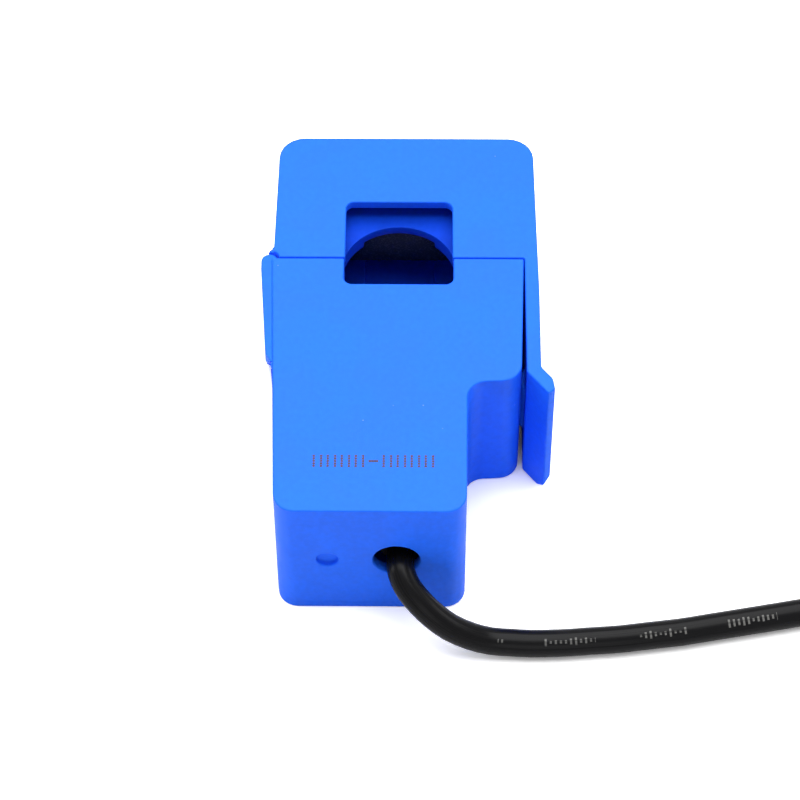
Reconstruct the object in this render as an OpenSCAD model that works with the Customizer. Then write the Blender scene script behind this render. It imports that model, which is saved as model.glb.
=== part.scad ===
// Clip-on current transformer: a split casing with a square opening, hinged on one side and latched on
// the other, with a lead that ends in a 3.5 mm jack plug.
// Millimetres. It lies on its back: X across, Y from the cable end to the cap end, Z up out of the face.
// Modules draw with X = 0 on the conductor's axis and Y = 0 at the cable end; home() centres the part.

/* [Casing] */
// Length from the cable end to the top of the cap
casing_length = 57; // [54:0.5:62]
// Length of the hinged cap
cap_length = 19.4; // [18.5:0.1:22]
// Thickness of the casing, back to front
casing_depth = 20; // [19:0.5:24]
// Half width of the body at the split, hinge side
hinge_half = 15.4; // [15.2:0.1:16.5]
// Half width of the body at the split, latch side
latch_half = 15.2; // [15:0.1:16.2]
// Half width of the body at the cable end, hinge side
end_half = 14.1; // [13:0.1:15]
// Half width of the narrow grip on the latch side
grip_half = 8.1; // [6.5:0.1:9.5]
// Side wall
wall = 1.4; // [1.1:0.05:1.6]
// Front and back wall
face_wall = 1.25; // [1:0.05:1.5]

/* [Conductor opening] */
// Width of the opening
window_width = 13.1; // [12:0.1:13.4]
// Height of the opening
window_height = 12.95; // [12:0.1:13.6]
// Part of the opening that lies in the body
window_in_body = 4.1; // [3.5:0.1:5]
// Corner radius of the opening
window_corner = 1; // [0.4:0.1:1.4]
// Radius of the arched web behind each face
arch_radius = 7; // [6:0.1:7.4]

/* [Hinge and latch] */
// Radius of the hinge barrel
barrel_r = 1; // [0.9:0.05:1.1]
// Radius of the hinge pin
pin_r = 0.5; // [0.4:0.05:0.6]
// Thickness of the latch arm
arm_thick = 1.7; // [1.4:0.05:2]
// Free length of the latch arm below the split
arm_length = 17.4; // [16.8:0.1:18]
// Reach of the thumb tab beyond the arm
tab_reach = 1.6; // [1.2:0.1:2.2]

/* [Core and winding] */
// Distance from each face to the ferrite core
core_inset = 5; // [4.5:0.1:6]
// Reach of the body's core half below the split
core_reach = 13.6; // [12.8:0.1:13.8]
// Width of a leg of the core
core_leg = 5.1; // [4.4:0.1:5.2]
// Thickness of the wound layer
winding_build = 2; // [1.2:0.1:2.1]
// Thickness of the foam behind the cap's core half
pad_thick = 1.1; // [0.8:0.1:1.5]

/* [Lead and plug] */
// Outside diameter of the lead
cord_d = 3.3; // [3:0.1:3.5]
// Diameter of the hole that the lead leaves by
cable_hole_d = 5.5; // [4.8:0.1:6]
// Diameter of the jack plug's shaft
jack_d = 3.5; // [3.4:0.1:3.6]
// Diameter of the plug's grip
grip_d = 8; // [7:0.5:9]
// Length of the plug's grip
grip_length = 19; // [15:1:22]

/* [Colours] */
// Casing plastic
blue = "#2f76f0";
// Lead and plug
black = "#1c1c1f";

/* [Hidden] */
fit = 0.05;
split = casing_length - cap_length;
body_top = split - 0.1;
cap_low = split + 0.05;
window_low = split - window_in_body;
window_high = window_low + window_height;
mid_z = casing_depth / 2;
inner_low = face_wall;
inner_high = casing_depth - face_wall;
step_rise = 0.35;
step_room = 0.75;
end_corner = 2.4;
side_room = 0.2;

// cap outline
cap_left_low = hinge_half - 0.12;
cap_left_top = hinge_half - 0.4;
arm_in = latch_half + 0.1;
arm_out = arm_in + arm_thick;
cap_right_top = arm_out - 0.4;
cap_corner = 3.2;
cap_room = hinge_half - wall - side_room;
arm_low = split - arm_length;
tab_drop = 2.5;
tab_lip = 0.8;
tab_slant = 0.65;
tab_chamfer = 2.4;

// hinge
hinge_x = -hinge_half - 0.35;
hinge_y = split - 0.2;
ear_low = 1.8;
ear_high = 5.3;
knuckle_low = 5.6;
strip_length = 15.9;
strip_low_y = split - strip_length;
strip_gap = 0.4;
turn_room = 0.15;
flare_room = 0.25;

// latch hook, shaped to leave its pocket along the arc of the hinge
hook_inset = 6;
hook_low = hook_inset;
hook_high = casing_depth - hook_inset;
hook_drop = 14.1;
hook_y = split - hook_drop;
hook_tip = arm_in - 0.94;

// core
window_room = 0.1;
channel_wall = 0.85;
channel_floor = 1.05;
core_inner = window_width / 2 + window_room + channel_wall + 0.1;
core_outer = core_inner + core_leg;
core_back = core_inset;
core_front = casing_depth - core_inset;
body_core_low = split - core_reach;
cap_core_top = casing_length - wall - pad_thick;
cap_core_inner_y = cap_core_top - core_leg;
web = 1.2;
web_set = 0.8;
web_step = 4.4;
arch_y = split + 0.3;

// bobbin
spool_wall = 0.6;
flange = 0.8;
flange_half = core_inner - 0.1;
flange_low = body_core_low - spool_wall - winding_build - 0.6;
flange_high = body_core_low + core_leg + spool_wall + winding_build + 0.6;
tape = 0.3;
wound_low = body_core_low - fit - spool_wall - winding_build - tape;
step_height = flange_low - step_room - wall;
ledge = 1;
ledge_length = 6;
ledge_height = 2.4;

// cable entry, board
cable_x = 0.475;
cable_z = mid_z - 0.8;
board = [14, 6.5, 1];
board_gap = 2.55;
board_at = [grip_half - wall - 1.7 - board.x, wound_low - board_gap - board.y, mid_z - 3];
post_in = 4;
post_r = 1.2;
peg_r = 0.5;
cable_inside = board_at.y - 4;
pad_x = [board_at.x + 1.5, board_at.x + board.x - 1.5];

// lead, in the part's own frame: it drops from the hole to the table and runs out to the coil
cord_r = cord_d / 2;
lead_route = [
    [-0.45, -28.5, 9.2], [-0.45, -29.1, 9.2], [-0.1, -30.2, 8.7], [0.6, -31.3, 8], [1.9, -32.5, 7],
    [3.4, -33.4, 5.8], [5.4, -34.1, 4.3], [7.8, -34.4, 2.9], [10.2, -34.5, 2], [12.6, -34.5, 1.7],
    [15, -34.6, 1.65], [18.4, -34.5, 1.65], [22, -34.2, 1.65], [25.5, -33.9, 1.65], [29, -33.4, 1.65],
    [32.6, -32.9, 1.65], [36.2, -32.2, 1.65], [39.8, -31.5, 1.65], [43.4, -30.8, 1.65],
    [46.9, -30.1, 1.65], [52, -29.1, 1.65], [58, -27.8, 1.65], [64, -26.4, 1.65], [70, -25, 1.7],
    [75, -24, 1.8], [80, -22.9, 1.95], [84.8, -21.6, 2]
];
tail_route = [
    [84.6, -21, 5.35], [90.2, -19.7, 5], [95.9, -18, 3.8], [100.6, -15, 2.6], [104.3, -11.2, 2],
    [106.7, -6.8, 2.6], [107.5, -2.8, 3.8], [107.6, -0.8, 4], [107.6, 0, 4]
];
coil_at = [78, 2];
coil_turns_out = 24.6;
coil_turns_in = 11;
tie_thick = 0.35;
coil_height = tie_thick + 2 * cord_d + 0.05;
tie_width = 3;
tie_angle = 55;

// plug, lying on the table with its shaft along +Y
plug_at = [107.6, 0, grip_d / 2];
boot_length = 9;
collar_length = 1.2;
sleeve_length = 7.6;
gap_length = 0.7;
shoulder = 0.5;
ring_length = 1.9;
tip_length = 3.2;
grip_y = boot_length;
collar_y = grip_y + grip_length;
sleeve_y = collar_y + collar_length;
gap_1_y = sleeve_y + sleeve_length;
ring_y = gap_1_y + gap_length;
gap_2_y = ring_y + ring_length;
tip_y = gap_2_y + gap_length;

// the part's frame: centre of the casing's box, hinge barrel to thumb tab
box_left = hinge_x - barrel_r;
box_right = arm_out + tab_reach;
home_x = -(box_left + box_right) / 2;

$fn = 48;

module home() translate([home_x, -casing_length / 2, 0]) children();

function unit(v) = v / norm(v);
function turn(p, a, b, r, n) = r <= 0 ? [p] :
    let (u = unit(a - p), v = unit(b - p), half = acos(u * v) / 2, c = p + unit(u + v) * r / sin(half),
        s = p + u * r / tan(half) - c, e = p + v * r / tan(half) - c, a0 = atan2(s.y, s.x),
        raw = atan2(e.y, e.x) - a0, sweep = raw > 180 ? raw - 360 : raw < -180 ? raw + 360 : raw)
    [for (i = [0:n]) c + r * [cos(a0 + sweep * i / n), sin(a0 + sweep * i / n)]];
// outline with corner i rounded to radius radii[i]
function rounded(points, radii, n = 6) = let (k = len(points))
    [for (i = [0:k - 1]) each turn(points[i], points[(i + k - 1) % k], points[(i + 1) % k], radii[i], n)];
function ring(p, along, r, n) = let (t = unit(along), side = unit(cross(t, [0, 0, 1])), up = cross(side, t))
    [for (k = [0:n - 1]) p + r * (cos(360 * k / n - 90) * side + sin(360 * k / n - 90) * up)];

// prism of an outline between two heights
module slab(points, low, high) translate([0, 0, low]) linear_extrude(high - low) polygon(points);
module block(low, high) translate(low) cube(high - low);
module rod(a, b, r) translate(a) rotate([0, acos(unit(b - a).z), atan2((b - a).y, (b - a).x)])
    cylinder(h = norm(b - a), r = r, $fn = 24);
module along_y(at, length, r) translate(at) rotate([-90, 0, 0]) cylinder(h = length, r = r);
module wire(points, r) for (i = [0:len(points) - 1]) {
    if (i > 0 && i < len(points) - 1) translate(points[i]) sphere(r, $fn = 24);
    if (i > 0) rod(points[i - 1], points[i], r);
}
module tube(route, r, sides = 8) {
    last = len(route) - 1;
    points = [for (i = [0:last])
        each ring(route[i], route[min(i + 1, last)] - route[max(i - 1, 0)], r, sides)];
    walls = [for (i = [0:last - 1], k = [0:sides - 1])
        let (m = (k + 1) % sides, a = i * sides, b = a + sides)
        each [[a + k, a + m, b + m], [a + k, b + m, b + k]]];
    polyhedron(points, concat([[for (k = [sides - 1:-1:0]) k]], walls,
        [[for (k = [0:sides - 1]) last * sides + k]]), convexity = 8);
}

// ---- casing ----
module body_outline() polygon(rounded(
    [[-hinge_half, body_top], [-end_half, 0], [grip_half, 0], [grip_half + 0.17, step_height],
        [latch_half - 0.54, step_height + step_rise], [latch_half, body_top]],
    [0, end_corner, end_corner, 2.3, 2.5, 0]));
module body_room() polygon(rounded(
    [[-hinge_half + wall, split + 1], [-end_half + wall, wall], [grip_half - wall, wall],
        [grip_half + 0.17 - wall, step_height + wall],
        [latch_half - 0.54 - wall, step_height + step_rise + wall], [latch_half - wall, split + 1]],
    [0, end_corner - wall, end_corner - wall, 2.3 + wall, 2.5 - wall, 0]));

// square opening through both faces, with its low or high corners rounded
module opening(half, low, high, low_r, high_r) slab(rounded(
    [[-half, high], [-half, low], [half, low], [half, high]], [high_r, low_r, low_r, high_r]),
    -1, casing_depth + 1);

module hinge_hole(r, low, high) translate([hinge_x, hinge_y, low]) cylinder(h = high - low, r = r);

module hinge_strip() {
    // the strip's low end is cut on a slant, from the front face back to the barrel
    difference() {
        slab([[hinge_x - barrel_r, hinge_y - 0.95], [-hinge_half + 0.4, hinge_y - 2.5],
            [-hinge_half + 0.9, strip_low_y], [-hinge_half + 0.5, strip_low_y],
            [-hinge_half - 0.4, strip_low_y + 1.4]], strip_gap, casing_depth - strip_gap);
        translate([hinge_x - 2 * barrel_r, 0, 0]) rotate([90, 0, 90]) linear_extrude(2 * barrel_r - 0.35)
            polygon([[strip_low_y - 1, casing_depth - strip_gap], [strip_low_y, casing_depth - strip_gap],
                [hinge_y - 1.2, strip_gap], [hinge_y - 1.2, -1], [strip_low_y - 1, -1]]);
    }
    for (low = [strip_gap, casing_depth - ear_high]) {
        hinge_hole(barrel_r, low, low + ear_high - strip_gap);
        slab([[hinge_x - barrel_r, hinge_y], [hinge_x - barrel_r, hinge_y - 1.2],
            [-hinge_half + 0.4, hinge_y - 2.7], [-hinge_half + 0.4, hinge_y]],
            low, low + ear_high - strip_gap);
    }
}

module latch_pocket() slab([[hook_tip - 0.15, hook_y - 1], [hook_tip - 0.15, hook_y + 0.05],
    [hook_tip + 0.6, hook_y + 1.7], [arm_in + 0.4, hook_y + 1.7], [arm_in + 0.4, hook_y - 1.6]],
    hook_low - 0.2, hook_high + 0.2);

module body_housing() color(blue) home() {
    difference() {
        union() {
            linear_extrude(casing_depth) body_outline();
            hinge_strip();
        }
        translate([0, 0, inner_low]) linear_extrude(inner_high - inner_low) body_room();
        opening(window_width / 2 + window_room, window_low, split + 1, window_corner, 0);
        along_y([0, -1, mid_z], wall + 2, cable_hole_d / 2);
        along_y([-8.1, -1, mid_z], 1.6, 1.3);
        latch_pocket();
        hinge_hole(barrel_r + turn_room, knuckle_low - 0.3, casing_depth - knuckle_low + 0.3);
        hinge_hole(pin_r + 0.01, 0, casing_depth - ear_low);
    }
    // ledges under the bobbin and posts for the board
    for (x = [-flange_half, flange_half - ledge], z = [inner_low - 0.1, inner_high - ledge_height])
        block([x, flange_low - ledge_length, z], [x + ledge, flange_low, z + ledge_height + 0.1]);
    for (x = [board_at.x + post_in, board_at.x + board.x - post_in]) {
        translate([x, board_at.y + board.y / 2, 1]) cylinder(h = board_at.z - 1, r = post_r);
        translate([x, board_at.y + board.y / 2, 1]) cylinder(h = board_at.z + board.z - 0.6, r = peg_r);
    }
}

module cap_outline() polygon(rounded(
    [[-cap_left_low, cap_low], [-cap_left_top, casing_length], [cap_right_top, casing_length],
        [arm_out, split - 5], [arm_out, arm_low + 0.8], [arm_out + tab_reach - 0.25, arm_low - 0.9],
        [arm_out + tab_reach, arm_low - tab_drop], [arm_out + tab_reach - tab_lip,
        arm_low - tab_drop - tab_slant], [arm_in, arm_low + 0.1], [arm_in, cap_low]],
    [0, cap_corner, cap_corner, 0, 1.2, 1.2, 0, 0, 0.8, 0]));

// chamfer along the tab's outer back edge
module tab_relief() translate([arm_out + tab_reach, arm_low + 2, 0]) rotate([90, 0, 0])
    linear_extrude(tab_drop + tab_slant + 4) polygon([[-tab_reach, -0.1], [0.1, -0.1], [0.1, tab_chamfer]]);

// wedge that carries the cap's side out over the hinge barrel
module hinge_flare() slab([[-cap_left_low + 0.5, hinge_y + 2.1], [-cap_left_low, hinge_y + 2.1],
    [hinge_x - barrel_r, hinge_y + 0.25], [-cap_left_low + 0.5, hinge_y + 0.25]],
    strip_gap, casing_depth - strip_gap);

module cap_housing() color(blue) home() {
    difference() {
        union() {
            linear_extrude(casing_depth) cap_outline();
            hinge_flare();
            hinge_hole(barrel_r, knuckle_low, casing_depth - knuckle_low);
            slab([[arm_in + 0.1, hook_y + 2.1], [hook_tip, hook_y], [hook_tip, hook_y - 0.5],
                [arm_in + 0.1, hook_y - 1.5]], hook_low, hook_high);
        }
        tab_relief();
        slab(rounded([[-cap_room, cap_low - 1], [-cap_room, casing_length - wall],
            [cap_room, casing_length - wall], [cap_room, cap_low - 1]], [0, 2, 2, 0]),
            inner_low, inner_high);
        opening(window_width / 2, cap_low - 1, window_high, 0, window_corner);
        for (low = [-1, casing_depth - ear_high - 0.3])
            hinge_hole(barrel_r + flare_room, low, low + ear_high + 1.3);
        hinge_hole(pin_r + 0.05, 0, casing_depth);
    }
    // ribs that hold the core carrier off both faces
    for (x = [-10.2, 9.2], z = [inner_low - 0.1, core_front + web_set + web])
        block([x, split + 3.4, z], [x + 1, casing_length - wall + 0.1, z + inner_high - core_front - web_set
            - web + 0.1]);
}

module hinge_pin() color("#b9bcc0") home() hinge_hole(pin_r, ear_low, casing_depth - ear_low);

// ---- core ----
module core_half(foot, face, bar_low, bar_high) color("#35363a") home() union() {
    block([-core_outer, bar_low, core_back], [core_outer, bar_high, core_front]);
    for (x = [-core_outer, core_inner])
        block([x, min(foot, face), core_back], [x + core_leg, max(foot, face), core_front]);
}
module body_core() core_half(body_core_low, split - fit, body_core_low, body_core_low + core_leg);
module cap_core() core_half(cap_core_top, split, cap_core_inner_y, cap_core_top);

// lining of the opening's lower half, with a plate across the split that frames the two pole faces
module core_cover() color(blue) home() difference() {
    union() {
        block([-cap_room, body_top - 1.2, inner_low + fit],
            [latch_half - wall - side_room, body_top, inner_high - fit]);
        block([-window_width / 2 - window_room - channel_wall, window_low - channel_floor, inner_low + fit],
            [window_width / 2 + window_room + channel_wall, body_top, inner_high - fit]);
    }
    opening(window_width / 2 + window_room, window_low, split + 1, window_corner, 0);
    for (x = [-core_outer - fit, core_inner - fit])
        block([x, body_top - 5, core_back - fit], [x + core_leg + 2 * fit, body_top + 1, core_front + fit]);
}

// cassette of the cap's core half: two arched webs joined by side walls
module core_carrier() color(blue) home() difference() {
    union() {
        for (z = [core_back - web_set - web, core_front + web_set])
            block([-cap_room + fit, split + 0.6, z], [cap_room - fit, casing_length - wall - fit, z + web]);
        for (z = [core_back - web_set, core_front], x = [-cap_room + fit, web_step])
            block([x, split + 0.6, z],
                [x + cap_room - fit - web_step, casing_length - wall - fit, z + web_set]);
        for (x = [-cap_room + fit, core_outer])
            block([x, split + 0.6, core_back], [x + cap_room - core_outer - fit,
                casing_length - wall - fit, core_front]);
    }
    translate([0, arch_y, -1]) cylinder(h = casing_depth + 2, r = arch_radius, $fn = 96);
    for (side = [-1, 1]) translate([side * cap_room, casing_length - wall, -1])
        rotate([0, 0, 45]) cube([2.8, 2.8, 2 * casing_depth + 4], center = true);
}

module core_pad() color("#26272a") home()
    block([-core_outer + 1, cap_core_top, core_back + 1],
        [core_outer - 1, casing_length - wall, core_front - 1]);

// ---- winding ----
module frame_x(half, low, high, back, front) translate([-half, 0, 0]) rotate([90, 0, 90])
    linear_extrude(2 * half) polygon(rounded([[low, back], [high, back], [high, front], [low, front]],
        [0.6, 0.6, 0.6, 0.6], 3));
module around_core(half, out) frame_x(half, body_core_low - out, body_core_low + core_leg + out,
    core_back - out, core_front + out);

module bobbin() color("#e6e2d6") home() difference() {
    union() {
        around_core(flange_half, fit + spool_wall);
        for (side = [-1, 1]) translate([side * (flange_half - flange / 2), 0, 0])
            frame_x(flange / 2, flange_low, flange_high, inner_low + fit, inner_high - fit);
    }
    block([-core_outer, body_core_low - fit, core_back - fit],
        [core_outer, body_core_low + core_leg + fit, core_front + fit]);
}
module winding() color("#9c4a22") home() difference() {
    around_core(flange_half - flange, fit + spool_wall + winding_build);
    around_core(flange_half, fit + spool_wall);
}
module winding_tape() color("#d8a92a") home() difference() {
    around_core(flange_half - flange, fit + spool_wall + winding_build + tape);
    around_core(flange_half, fit + spool_wall + winding_build);
}

// ---- board and wiring ----
module terminal_board() color("#2b6a3a") home() difference() {
    block(board_at, board_at + board);
    for (x = [board_at.x + post_in, board_at.x + board.x - post_in])
        translate([x, board_at.y + board.y / 2, 0]) cylinder(h = casing_depth, r = peg_r + fit);
}
diode_at = [board_at.x + board.x / 2, board_at.y + 1.4, board_at.z + board.z + 1.1];
module surge_diode() color("#202024") home()
    translate(diode_at - [2.1, 0, 0]) rotate([0, 90, 0]) cylinder(h = 4.2, r = 1.1);
module diode_leads() color("#b9bcc0") home() for (side = [-1, 1])
    wire([diode_at + [side * 2.1, 0, 0], diode_at + [side * 3.3, 0, 0],
        diode_at + [side * 3.3, 0, -1.1]], 0.3);
module solder_joints() color("#c2c4c8") home()
    for (x = pad_x, y = [board_at.y + 1.4, board_at.y + board.y - 1.4]) difference() {
        translate([x, y, board_at.z + board.z]) sphere(1, $fn = 32);
        block([x - 2, y - 2, board_at.z - 2], [x + 2, y + 2, board_at.z + board.z]);
    }
module winding_leads() color("#b06a3a") home() for (i = [0, 1])
    tube([[pad_x[i], board_at.y + board.y - 1.4, board_at.z + board.z + 1.2],
        [pad_x[i] + 0.5 - i, board_at.y + board.y + 1.5, board_at.z + board.z + 2],
        [(i - 0.5) * 12, wound_low - 1, mid_z + 3], [(i - 0.5) * 12, wound_low, mid_z + 3]], 0.25);
module core_wire(i) tube([[cable_x + (i - 0.5) * 1.4, cable_inside, cable_z + 0.5],
    [cable_x + (i - 0.5) * 1.4, cable_inside + 0.6, cable_z + 0.5],
    [cable_x + (i - 0.5) * 2.2, cable_inside + 2, cable_z + 1.2],
    [pad_x[i] - (i - 0.5) * 2, board_at.y - 1, board_at.z + board.z + 2.4],
    [pad_x[i], board_at.y + 1.4, board_at.z + board.z + 1.5]], 0.5);
module signal_wire() color("#eceae4") home() core_wire(0);
module return_wire() color("#b8261e") home() core_wire(1);
module inner_cable() color(black) home()
    along_y([cable_x, 0, cable_z], cable_inside, cord_r);
module cable_tie() color("#e9e7df") home() difference() {
    union() {
        along_y([cable_x, wall + 1, cable_z], 2.5, cord_r + 0.9);
        block([cable_x + cord_r - 0.2, wall + 0.5, cable_z - 1.8],
            [cable_x + cord_r + 2.8, wall + 4, cable_z + 1.8]);
    }
    along_y([cable_x, 0, cable_z], cable_inside, cord_r + 0.02);
}

// ---- lead, laid in the part's own frame ----
module cord_lead() color(black) tube(lead_route, cord_r);
module cord_tail() color(black) tube(tail_route, cord_r);
module cord_coil() color(black) translate(coil_at) rotate_extrude($fn = 72)
    polygon([[coil_turns_in - cord_r, tie_thick + 1], [coil_turns_in - cord_r + 1, tie_thick],
        [coil_turns_out + cord_r - 1, tie_thick], [coil_turns_out + cord_r, tie_thick + 1],
        [coil_turns_out + cord_r, coil_height - 1], [coil_turns_out + cord_r - 1, coil_height],
        [coil_turns_in - cord_r + 1, coil_height], [coil_turns_in - cord_r, coil_height - 1]]);
module coil_tie() color("#e9e7df") translate(coil_at) rotate([0, 0, tie_angle]) difference() {
    block([coil_turns_in - cord_r - 0.6, -tie_width / 2, 0],
        [coil_turns_out + cord_r + 0.5, tie_width / 2, coil_height + tie_thick]);
    block([coil_turns_in - cord_r - 0.2, -tie_width, tie_thick],
        [coil_turns_out + cord_r + 0.05, tie_width, coil_height]);
}

// ---- plug ----
module plug_piece(from, length, r) translate(plug_at) along_y([0, from, 0], length, r);
module plug_turned(points) translate(plug_at) rotate([-90, 0, 0]) rotate_extrude() polygon(points);

function boot_r(y) = cord_r + 0.45 + 0.55 * y / boot_length;
module plug_boot() color(black) difference() {
    plug_turned([[0, 0], [boot_r(0), 0], [boot_r(boot_length), boot_length], [0, boot_length]]);
    for (y = [1.4:1.9:7.2]) plug_turned([[boot_r(y) - 0.35, y], [grip_d, y], [grip_d, y + 0.8],
        [boot_r(y + 0.8) - 0.35, y + 0.8]]);
}
module plug_grip() color(black) plug_turned([[0, grip_y], [grip_d / 2 - 0.9, grip_y],
    [grip_d / 2, grip_y + 1.2], [grip_d / 2, collar_y - 1], [grip_d / 2 - 0.6, collar_y], [0, collar_y]]);
module plug_collar() color("#c9a24a") plug_piece(collar_y, collar_length, 2.7);
module plug_sleeve() color("#c9a24a") plug_piece(sleeve_y, sleeve_length, jack_d / 2);
module plug_sleeve_insulator() color(black) plug_piece(gap_1_y, gap_length, jack_d / 2);
module plug_ring() color("#c9a24a") plug_piece(ring_y, ring_length, jack_d / 2);
module plug_ring_insulator() color(black) plug_piece(gap_2_y, gap_length, jack_d / 2);
module plug_tip() color("#c9a24a") plug_turned([[0, tip_y], [jack_d / 2, tip_y],
    [jack_d / 2, tip_y + shoulder], [jack_d / 2 - 0.65, tip_y + 1.1], [jack_d / 2 - 0.3, tip_y + 1.9],
    [jack_d / 2 - 0.5, tip_y + 2.4], [0.3, tip_y + tip_length], [0, tip_y + tip_length]]);

body_housing();
cap_housing();
hinge_pin();
body_core();
cap_core();
core_cover();
core_carrier();
core_pad();
bobbin();
winding();
winding_tape();
terminal_board();
surge_diode();
diode_leads();
solder_joints();
winding_leads();
signal_wire();
return_wire();
inner_cable();
cable_tie();
cord_lead();
cord_coil();
cord_tail();
coil_tie();
plug_boot();
plug_grip();
plug_collar();
plug_sleeve();
plug_sleeve_insulator();
plug_ring();
plug_ring_insulator();
plug_tip();
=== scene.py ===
"""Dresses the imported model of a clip-on current transformer: moulded casing, ferrite core, winding,
board, and a lead that runs across the table to a tied coil and a jack plug. Lengths are in metres."""

import math
from contextlib import contextmanager

import bmesh
import bpy
from mathutils import Matrix, Vector
from mathutils.bvhtree import BVHTree


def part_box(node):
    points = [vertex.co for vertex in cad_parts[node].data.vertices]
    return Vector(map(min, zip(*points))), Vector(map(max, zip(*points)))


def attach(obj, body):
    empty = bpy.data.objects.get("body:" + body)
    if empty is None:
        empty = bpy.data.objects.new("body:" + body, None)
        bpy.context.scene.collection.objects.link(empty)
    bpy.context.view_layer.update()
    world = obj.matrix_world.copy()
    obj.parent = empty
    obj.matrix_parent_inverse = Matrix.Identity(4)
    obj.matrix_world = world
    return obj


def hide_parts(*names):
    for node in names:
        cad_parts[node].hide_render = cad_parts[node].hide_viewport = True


bl_info = {
    "name": "Clip-on current transformer",
    "version": (1, 0, 0),
    "blender": (4, 5, 0),
    "location": "3D View > Sidebar > Transformer",
    "description": "Finishes the packed model of a split-core current transformer",
    "category": "Object",
}

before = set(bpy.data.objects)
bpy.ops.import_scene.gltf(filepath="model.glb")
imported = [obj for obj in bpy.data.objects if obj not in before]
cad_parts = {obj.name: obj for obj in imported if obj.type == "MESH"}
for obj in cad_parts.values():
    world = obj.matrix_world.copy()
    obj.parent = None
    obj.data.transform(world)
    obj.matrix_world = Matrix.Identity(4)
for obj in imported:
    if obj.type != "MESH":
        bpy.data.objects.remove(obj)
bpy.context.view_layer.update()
MM = 0.001
SHARP = 32  # degrees; edges sharper than this are rounded
TOUCHING = 1e-7  # metres; points of a new mesh closer than this are one
WELD = 2e-6  # metres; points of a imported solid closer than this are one
CUT_WELD = 0.05 * MM  # the same before a cut
SLIVER = 0.01 * MM  # what a cut leaves thinner than this is dropped
THROWN = 0.8  # share of the rounding past which a point has left the solid's surface
GRAIN_DEPTH = 0.02 * MM


def mm(*values):
    """Millimetres as a vector in metres."""
    return Vector(values) * MM


# The lead's route: out of the cable end, down to the table and across to the coil.
LEAD_ROUTE = [mm(*point) for point in (
    (-0.45, -28.5, 9.2), (-0.45, -29.1, 9.2), (-0.1, -30.2, 8.7), (0.6, -31.3, 8), (1.9, -32.5, 7),
    (3.4, -33.4, 5.8), (5.4, -34.1, 4.3), (7.8, -34.4, 2.9), (10.2, -34.5, 2), (12.6, -34.5, 1.7),
    (15, -34.6, 1.65), (18.4, -34.5, 1.65), (22, -34.2, 1.65), (25.5, -33.9, 1.65), (29, -33.4, 1.65),
    (32.6, -32.9, 1.65), (36.2, -32.2, 1.65), (39.8, -31.5, 1.65), (43.4, -30.8, 1.65), (46.9, -30.1, 1.65),
    (52, -29.1, 1.65), (58, -27.8, 1.65), (64, -26.4, 1.65), (70, -25, 1.7), (75, -24, 1.8),
    (80, -22.9, 1.95), (84.8, -21.6, 2),
)]
# The last stretch, from the coil's upper turns to the plug.
TAIL_ROUTE = [mm(*point) for point in (
    (84.6, -21, 5.35), (90.2, -19.7, 5), (95.9, -18, 3.8), (100.6, -15, 2.6), (104.3, -11.2, 2),
    (106.7, -6.8, 2.6), (107.5, -2.8, 3.8), (107.6, -0.8, 4), (107.6, 0, 4),
)]
COIL_CENTRE = mm(78, 2, 0)
COIL_START = -74  # degrees, where the lead meets the coil
COIL_OUT = 24.6 * MM
COIL_IN = 11 * MM
COIL_LOW = 2 * MM
COIL_HIGH = 5.35 * MM
COIL_PITCH = 3.4 * MM
COIL_LAYER = 4 * 360  # degrees of turns in each of the two layers
COIL_STEP = 12  # degrees from one point of a turn to the next
CLIMB = 70  # degrees over which the lead climbs from the lower turns to the upper ones


# ---- settings ----
def length(label, text, default, low, high):
    """A length property in metres."""
    return bpy.props.FloatProperty(
        name=label, description=text, default=default, min=low, max=high, subtype="DISTANCE", unit="LENGTH"
    )


def angle(label, text, degrees):
    """An angle, given in degrees."""
    return bpy.props.FloatProperty(name=label, description=text, default=math.radians(degrees), subtype="ANGLE")


def number(label, text, default, low, high):
    """A whole number."""
    return bpy.props.IntProperty(name=label, description=text, default=default, min=low, max=high)


def factor(label, text, default):
    """A share between 0 and 1."""
    return bpy.props.FloatProperty(name=label, description=text, default=default, min=0.0, max=1.0, subtype="FACTOR")


def colour(label, text, default):
    """A linear colour."""
    return bpy.props.FloatVectorProperty(
        name=label, description=text, default=default, size=3, min=0.0, max=1.0, subtype="COLOR"
    )


class CasingSettings(bpy.types.PropertyGroup):
    """Sizes and colours of the moulded casing."""

    plastic: colour("Plastic", "Colour of the moulded casing", (0.014, 0.142, 0.97))
    # a darker copy of the casing blue: painted shade on the core carrier's webs, deep inside the window
    shaded_inner_plastic: colour("Shaded inner plastic", "Colour of the core carrier's arched webs", (0.004, 0.050, 0.54))
    edge: length("Edge radius", "Rounding along the casing's edges", 0.2 * MM, 0.0, 0.4 * MM)
    inner_edge: length("Inner edge radius", "Rounding on the inner mouldings", 0.12 * MM, 0.0, 0.2 * MM)
    grain: factor("Grain", "Depth of the fine moulded texture", 0.35)
    ink: colour("Ink", "Colour of the printed dots", (0.024, 0.008, 0.028))
    dot_pitch: length("Dot pitch", "Distance between printed dots", 0.36 * MM, 0.1 * MM, MM)
    cell_pitch: length("Mark pitch", "Distance between printed marks", 1.62 * MM, 0.5 * MM, 4 * MM)


class LeadSettings(bpy.types.PropertyGroup):
    """Sizes and colours of the lead and its plug."""

    diameter: length("Lead diameter", "Outside diameter of the jacket", 3.3 * MM, MM, 6 * MM)
    jacket: colour("Jacket", "Colour of the lead's jacket", (0.0030, 0.0030, 0.0035))
    print_colour: colour("Print", "Colour of the pale ticks along the jacket", (0.22, 0.22, 0.21))
    plating: colour("Plating", "Colour of the plug's contacts", (0.83, 0.61, 0.28))
    ribs: number("Grip ribs", "Ribs round the plug's grip", 14, 4, 40)
    rings: number("Boot rings", "Rings on the strain relief", 5, 2, 9)


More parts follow.
